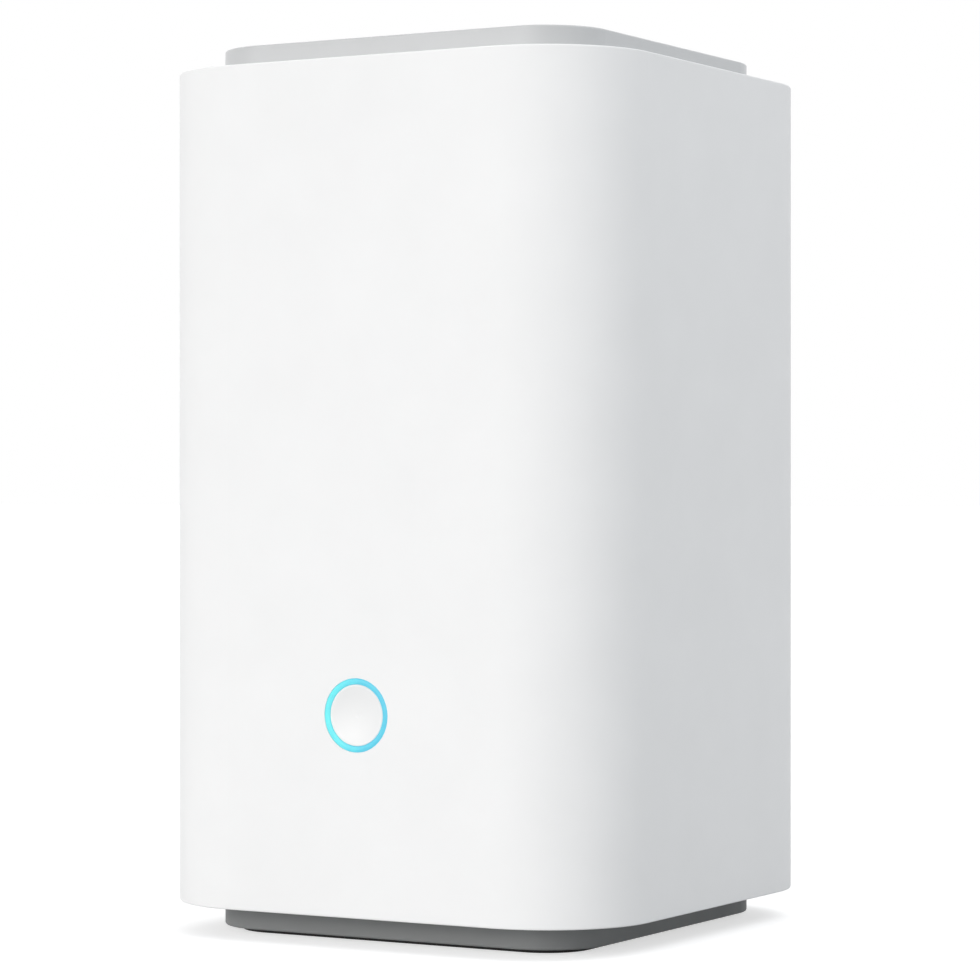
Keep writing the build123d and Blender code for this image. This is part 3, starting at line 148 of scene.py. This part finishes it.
# Network socket's lamps: the darker and lighter shade of each
LAMP_GREENS = ((0.06, 0.58, 0.14), (0.08, 0.66, 0.17))
LAMP_AMBERS = ((0.8, 0.34, 0.03), (0.86, 0.38, 0.04))
LAMP_GLOW = 0.6

# Circuit board: solder mask, track under it and tinned hole
BOARD_MASK = (0.018, 0.12, 0.065)
BOARD_TRACK = (0.035, 0.18, 0.1)
BOARD_TIN = (0.4, 0.38, 0.3)
BOARD_PATCH = 9 * MM
BOARD_TURNED_SHARE = 0.5
BOARD_HOLE_CELL = 2.6 * MM
BOARD_HOLE_SHARE = 0.1

# Its tracks in millimetres: length of a run, pitch and width
TRACK_RUN = 7.0
TRACK_PITCH = 0.6
TRACK_W = 0.09

# Softened edge of the contact pieces, which the solids leave out
BAR_EDGE = 0.01 * MM

# USB tongue's height and length, and the width of the contact strips under it
USB_TONGUE_H = 2.74 * MM
USB_TONGUE_L = 8.6 * MM
USB_STRIP_W = 1.0 * MM

# Each strip in millimetres: its middle across the tongue, and its tip's distance from the tongue's end
USB_STRIPS = ((-3.5, 0.8), (-1.0, 1.8), (1.0, 1.8), (3.5, 0.8))

# A strip's side outline in millimetres, along the tongue and up from its underside: the first and
# last points from the tongue's root, those between from the strip's tip
STRIP_START = ((0.0, 0.05), (0.0, -0.12), (2.5, -0.12))
STRIP_TIP = ((-1.5, -0.5), (-0.7, -0.45), (0.0, 0.02), (-0.4, 0.05), (-1.0, -0.25), (-1.5, -0.3))
STRIP_END = ((2.6, 0.05),)

# Contact pads under a memory card: number, sizes, and the two that are longer, counted from 0
CARD_PADS = 8
CARD_PAD_PITCH = 1.1 * MM
CARD_PAD_W = 0.8 * MM
CARD_PAD_L = 2.8 * MM
CARD_LONG_PADS = (2, 5)
CARD_LONG_PAD_L = 3.2 * MM

# Their distance from the card's side and inner end, and how far they reach into it and out of it
CARD_PAD_SIDE = 0.75 * MM
CARD_PAD_INSET = 0.5 * MM
CARD_PAD_SUNK = 0.02 * MM
CARD_PAD_PROUD = 0.03 * MM


class Nodes:
    """The shader nodes of a material or of the world."""

    def __init__(self, tree):
        self.tree = tree

    def add(self, kind, **facts):
        """A new node with its settings."""
        node = self.tree.nodes.new(kind)
        for name, value in facts.items():
            setattr(node, name, value)
        return node

    def feed(self, socket, value):
        """Links an output to a socket, or gives the socket a number or colour."""
        if isinstance(value, bpy.types.NodeSocket):
            self.tree.links.new(value, socket)
        elif isinstance(value, tuple):
            socket.default_value = (*value, 1)
        else:
            socket.default_value = value

    def calc(self, operation, a, b, clamp=False):
        """Sum, comparison or the like of two outputs or numbers."""
        node = self.add("ShaderNodeMath", operation=operation, use_clamp=clamp)
        self.feed(node.inputs[0], a)
        self.feed(node.inputs[1], b)
        return node.outputs["Value"]

    def mix(self, factor, a, b):
        """Colour between a and b, each a colour or an output."""
        node = self.add("ShaderNodeMix", data_type="RGBA")
        self.feed(node.inputs["Factor"], factor)
        self.feed(node.inputs[MIX_A], a)
        self.feed(node.inputs[MIX_B], b)
        return node.outputs[MIX_RESULT]

    def span(self, value, low, high, start=0.0, end=1.0):
        """A value between start and end, carried over to between low and high."""
        node = self.add("ShaderNodeMapRange")
        self.feed(node.inputs["Value"], value)
        self.feed(node.inputs["From Min"], start)
        self.feed(node.inputs["From Max"], end)
        self.feed(node.inputs["To Min"], low)
        self.feed(node.inputs["To Max"], high)
        return node.outputs["Result"]

    def is_background_ray(self):
        """1 for a ray that shows the background itself: camera, mirror or clear rays."""
        path = self.add("ShaderNodeLightPath")
        total = path.outputs["Is Camera Ray"]
        for name in ("Is Glossy Ray", "Is Transmission Ray"):
            total = self.calc("MAXIMUM", total, path.outputs[name])
        return total


class Surface(Nodes):
    """A Principled material and the few nodes that its detail needs."""

    def __init__(self, name, color, roughness, metallic=0.0, specular=0.5):
        self.material = bpy.data.materials.new(name)
        self.material.use_nodes = True
        super().__init__(self.material.node_tree)
        self.shader = self.tree.nodes["Principled BSDF"]
        self.set("Base Color", color)
        self.set("Roughness", roughness)
        self.set("Metallic", metallic)
        self.set("Specular IOR Level", specular)
        self.place = self.add("ShaderNodeTexCoord").outputs["Object"]
        self.color = color
        self.roughness = roughness

    def set(self, name, value):
        """Gives one of the shader's sockets a value or an output."""
        self.feed(self.shader.inputs[name], value)

    def stretched(self, scale):
        """The surface's own place, scaled apart on each axis."""
        mapping = self.add("ShaderNodeMapping")
        mapping.inputs["Scale"].default_value = scale
        self.feed(mapping.inputs["Vector"], self.place)
        return mapping.outputs["Vector"]

    def axes(self):
        """The surface's own X, Y and Z."""
        split = self.add("ShaderNodeSeparateXYZ")
        self.feed(split.inputs["Vector"], self.place)
        return split.outputs

    def noise(self, size, place=None):
        """Noise whose features are about size metres across."""
        node = self.add("ShaderNodeTexNoise")
        self.feed(node.inputs["Scale"], 1 / size)
        self.feed(node.inputs["Vector"], place or self.place)
        return node.outputs["Fac"]

    def clouds(self, size, low, high, place=None):
        """Noise carried over to between low and high."""
        return self.span(self.noise(size, place), low, high, *NOISE_RANGE)

    def mottle(self, size, amount, place=None):
        """Slow colour variation, lighter and darker by amount."""
        light = tuple(min(1.0, c * (1 + amount)) for c in self.color)
        dark = tuple(c * (1 - amount) for c in self.color)
        self.set("Base Color", self.mix(self.clouds(size, 0.0, 1.0, place), dark, light))

    def wear(self, size, amount, place=None):
        """Roughness that varies by amount."""
        least = max(MIN_ROUGHNESS, self.roughness - amount)
        self.set("Roughness", self.clouds(size, least, self.roughness + amount, place))

    def grain(self, size, depth, place=None):
        """Fine relief, depth metres high."""
        bump = self.add("ShaderNodeBump")
        self.feed(bump.inputs["Distance"], depth)
        self.feed(bump.inputs["Height"], self.noise(size, place))
        self.set("Normal", bump.outputs["Normal"])


def moulded(name, color, roughness, grain_mm, depth_mm, specular):
    """Injection-moulded plastic with a fine spark-eroded texture."""
    surface = Surface(name, color, roughness, specular=specular)
    surface.mottle(size=14 * MM, amount=0.012)
    surface.wear(size=5 * MM, amount=0.04)
    surface.grain(size=grain_mm * MM, depth=depth_mm * MM)
    return surface


def rolled(name, color, roughness, direction):
    """Rolled or brushed metal with fine lines."""
    surface = Surface(name, color, roughness, metallic=1.0)
    lines = surface.stretched(direction)
    surface.mottle(size=1.5 * MM, amount=0.04, place=lines)
    surface.wear(size=0.8 * MM, amount=0.06, place=lines)
    surface.grain(size=0.3 * MM, depth=0.0005 * MM, place=lines)
    return surface


def soft(name, color, roughness, grain_mm, depth_mm):
    """Rubber, foam or flexible sheath."""
    surface = Surface(name, color, roughness, specular=0.3)
    surface.mottle(size=4 * MM, amount=0.08)
    surface.wear(size=2 * MM, amount=0.08)
    surface.grain(size=grain_mm * MM, depth=depth_mm * MM)
    return surface


def light_guide():
    """Frosted guide lit from behind, lighter and greener on its left with painted light, darker and
    bluer on its right with painted shade.
    """
    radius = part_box("light_ring")[1].x
    surface = Surface("light_guide", GUIDE_LIT_AND_SHADED_COLORS[0], roughness=0.4, specular=0.3)
    surface.wear(size=5 * MM, amount=0.04)
    surface.grain(size=0.3 * MM, depth=0.002 * MM)
    middle = GUIDE_TURN * radius
    reach = GUIDE_TURN_REACH * radius
    across = surface.span(surface.axes()["X"], 0.0, 1.0, middle - reach, middle + reach)
    uneven = surface.clouds(2.5 * MM, -GUIDE_UNEVEN, GUIDE_UNEVEN)
    # 0 on the left, which gets lighter with painted light, and 1 on the right, which gets darker with
    # painted shade
    side = surface.calc("ADD", across, uneven, clamp=True)
    surface.set("Base Color", surface.mix(side, *GUIDE_LIT_AND_SHADED_COLORS))
    surface.set("Emission Color", surface.mix(side, *GUIDE_LIT_AND_SHADED_GLOWS))
    surface.set("Emission Strength", 1.0)
    return surface


def lan_lamp():
    """Light pipes, green on one side and amber on the other."""
    lamps_low, lamps_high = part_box("lan_lamps")
    middle = (lamps_low.x + lamps_high.x) / 2
    surface = Surface("lamp_clear", LAMP_GREENS[0], roughness=0.3)
    side = surface.span(surface.axes()["X"], 0.0, 1.0, middle - MM, middle + MM)
    cloud = surface.clouds(0.6 * MM, 0.0, 1.0)
    green = surface.mix(cloud, *LAMP_GREENS)
    amber = surface.mix(cloud, *LAMP_AMBERS)
    tint = surface.mix(side, green, amber)
    surface.set("Base Color", tint)
    surface.set("Emission Color", tint)
    surface.set("Emission Strength", LAMP_GLOW)
    return surface


def cells(surface, size):
    """Outputs of cells about size metres across."""
    node = surface.add("ShaderNodeTexVoronoi")
    surface.feed(node.inputs["Scale"], 1 / size)
    surface.feed(node.inputs["Vector"], surface.place)
    return node.outputs


def track_lines(surface, along, across):
    """1 on thin lines that run far in one way and turn off it now and then."""
    place = surface.add("ShaderNodeCombineXYZ")
    surface.feed(place.inputs["X"], along)
    surface.feed(place.inputs["Y"], across)
    node = surface.add("ShaderNodeTexBrick", offset=0.37, squash=0.6, squash_frequency=3)
    surface.feed(node.inputs["Scale"], 1 / MM)
    surface.feed(node.inputs["Brick Width"], TRACK_RUN)
    surface.feed(node.inputs["Row Height"], TRACK_PITCH)
    surface.feed(node.inputs["Mortar Size"], TRACK_W)
    surface.feed(node.inputs["Vector"], place.outputs["Vector"])
    return node.outputs["Fac"]


def circuit_board():
    """Green solder mask over tracks that run two ways in patches, with small tinned holes."""
    surface = Surface("circuit_board", BOARD_MASK, roughness=0.35)
    x, y, z = surface.axes()
    one_way = surface.calc("ADD", x, z)
    other_way = surface.calc("ADD", y, z)
    runs = track_lines(surface, one_way, other_way)
    turned_runs = track_lines(surface, other_way, one_way)
    patch = surface.add("ShaderNodeSeparateColor")
    surface.feed(patch.inputs["Color"], cells(surface, BOARD_PATCH)["Color"])
    turned = surface.calc("GREATER_THAN", patch.outputs["Red"], BOARD_TURNED_SHARE)
    tracks = surface.mix(turned, runs, turned_runs)
    copper = surface.mix(tracks, BOARD_MASK, BOARD_TRACK)
    hole = surface.calc("LESS_THAN", cells(surface, BOARD_HOLE_CELL)["Distance"], BOARD_HOLE_SHARE)
    surface.set("Base Color", surface.mix(hole, copper, BOARD_TIN))
    surface.wear(size=3 * MM, amount=0.05)
    surface.grain(size=0.6 * MM, depth=0.002 * MM)
    return surface


# Slots whose finish is a function of its own, and the tables of the others
OWN_FINISHES = {"light_guide": light_guide, "lamp_clear": lan_lamp, "circuit_board": circuit_board}
KINDS = ((moulded, MOULDED), (rolled, ROLLED), (soft, SOFT))


def make_finish(slot):
    """The material of a slot."""
    if slot in OWN_FINISHES:
        return OWN_FINISHES[slot]().material
    kind, table = next(pair for pair in KINDS if slot in pair[1])
    surface = kind(slot, *table[slot])
    for name, value in EXTRAS.get(slot, {}).items():
        surface.set(name, value)
    return surface.material


def dress_nodes():
    """Gives each CAD node its slot's finish, and returns the finishes."""
    slots = {part["node"]: part["material_slot"] for part in frame["record"]["subparts"]}
    made = {}
    for node, piece in frame["nodes"].items():
        slot = slots[node]
        if slot not in made:
            made[slot] = make_finish(slot)
        for material_slot in piece.material_slots:
            material_slot.material = made[slot]
    return made


def add_object(name, data):
    """A new object in the scene."""
    thing = bpy.data.objects.new(name, data)
    bpy.context.scene.collection.objects.link(thing)
    return thing


def bars(name, pieces):
    """Closed bars, each a YZ outline stretched from one X to another, with softened edges."""
    grown = bmesh.new()
    for x0, x1, outline in pieces:
        rows = [[grown.verts.new((x, y, z)) for y, z in outline] for x in (x0, x1)]
        grown.faces.new(rows[0])
        grown.faces.new(rows[1])
        for k, spot in enumerate(rows[0]):
            grown.faces.new((rows[0][k - 1], spot, rows[1][k], rows[1][k - 1]))
    bmesh.ops.recalc_face_normals(grown, faces=grown.faces)
    bmesh.ops.bevel(
        grown, geom=grown.edges[:], offset=BAR_EDGE, segments=2, affect="EDGES", clamp_overlap=True,
    )
    mesh = bpy.data.meshes.new(name)
    grown.to_mesh(mesh)
    grown.free()
    return add_object(name, mesh)


def finish_contact(piece, body, material):
    """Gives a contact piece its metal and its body."""
    piece.data.materials.append(material)
    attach(piece, body)


def placed(outline, y, z):
    """Outline points in millimetres, from a place in metres."""
    return [(y + along * MM, z + up * MM) for along, up in outline]


def usb_contacts(material):
    """Four sprung strips under the USB tongue, the outer two longer."""
    tongue_low, tongue_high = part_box("usb_tongue")
    middle = (tongue_low.x + tongue_high.x) / 2
    root = tongue_high.y - USB_TONGUE_L
    under = tongue_high.z - USB_TONGUE_H
    strips = []
    for place, tip_gap in USB_STRIPS:
        x = middle + place * MM
        tip = tongue_high.y - tip_gap * MM
        outline = placed(STRIP_START, root, under)
        outline += placed(STRIP_TIP, tip, under)
        outline += placed(STRIP_END, root, under)
        strips.append((x - USB_STRIP_W / 2, x + USB_STRIP_W / 2, outline))
    finish_contact(bars("usb_contacts", strips), "base", material)


def card_contacts(letter, material):
    """Eight pads under a memory card's inner end, two of them longer."""
    card_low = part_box(f"microsd_card_{letter}")[0]
    top = card_low.z + CARD_PAD_SUNK
    bottom = card_low.z - CARD_PAD_PROUD
    start = card_low.y + CARD_PAD_INSET
    pads = []
    for k in range(CARD_PADS):
        x = card_low.x + CARD_PAD_SIDE + k * CARD_PAD_PITCH
        end = start + (CARD_LONG_PAD_L if k in CARD_LONG_PADS else CARD_PAD_L)
        outline = ((start, top), (start, bottom), (end, bottom), (end, top))
        pads.append((x, x + CARD_PAD_W, outline))
    finish_contact(bars(f"card_{letter}_contacts", pads), f"card_{letter}", material)


def make_world():
    """White to the camera and in reflections, a plain soft level for light."""
    world = bpy.data.worlds.new("studio")
    world.use_nodes = True
    nodes = Nodes(world.node_tree)
    background = world.node_tree.nodes["Background"]
    nodes.feed(background.inputs["Color"], nodes.mix(nodes.is_background_ray(), WORLD_LIGHT, WHITE))
    nodes.feed(background.inputs["Strength"], 1.0)
    bpy.context.scene.world = world


def make_floor():
    """Pale floor that looks white where it is lit, and keeps the object's shadow."""
    half = FLOOR_SIDE / 2
    corners = [(-half, -half, 0), (half, -half, 0), (half, half, 0), (-half, half, 0)]
    mesh = bpy.data.meshes.new("floor")
    mesh.from_pydata(corners, [], [(0, 1, 2, 3)])
    surface = Surface("floor", FLOOR_COLOR, FLOOR_ROUGHNESS, specular=0.0)
    surface.mottle(size=0.3, amount=0.004)
    surface.set("Emission Color", WHITE)
    surface.set("Emission Strength", surface.span(surface.is_background_ray(), 0.0, FLOOR_LIFT))
    mesh.materials.append(surface.material)
    floor = add_object("floor", mesh)


def aim(thing, target):
    """Turns a camera or lamp to look at a point."""
    thing.rotation_euler = (Vector(target) - thing.location).to_track_quat("-Z", "Y").to_euler()


def make_lamp(kind, azimuth, elevation, distance, spread, power, color):
    """Soft lamp aimed at the object's middle."""
    data = bpy.data.lights.new("lamp", kind)
    data.energy = power
    data.color = color
    if kind == "SUN":
        data.angle = math.radians(spread)
    else:
        data.shape = "SQUARE"
        data.size = spread
    turn = math.radians(azimuth)
    lift = math.radians(elevation)
    way = Vector((math.sin(turn) * math.cos(lift), -math.cos(turn) * math.cos(lift), math.sin(lift)))
    middle = Vector((0, 0, TOTAL_H / 2))
    lamp = add_object("lamp", data)
    lamp.location = middle + way * distance
    aim(lamp, middle)


def make_camera():
    """Camera at the photograph's viewing angle, level with the object's middle."""
    data = bpy.data.cameras.new("camera")
    data.lens = CAMERA_LENS
    data.sensor_width = SENSOR
    camera = add_object("camera", data)
    x = math.sin(CAMERA_AZIMUTH) * CAMERA_DISTANCE
    y = -math.cos(CAMERA_AZIMUTH) * CAMERA_DISTANCE
    camera.location = (x, y, TOTAL_H / 2)
    aim(camera, (0, 0, TOTAL_H / 2))
    bpy.context.scene.camera = camera


finishes = dress_nodes()
usb_contacts(finishes["contact_metal"])
for card_letter in "ab":
    card_contacts(card_letter, finishes["contact_metal"])
make_world()
make_floor()
for lamp_facts in LAMPS:
    make_lamp(**lamp_facts)
make_camera()
bpy.context.scene.view_settings.view_transform = "Standard"
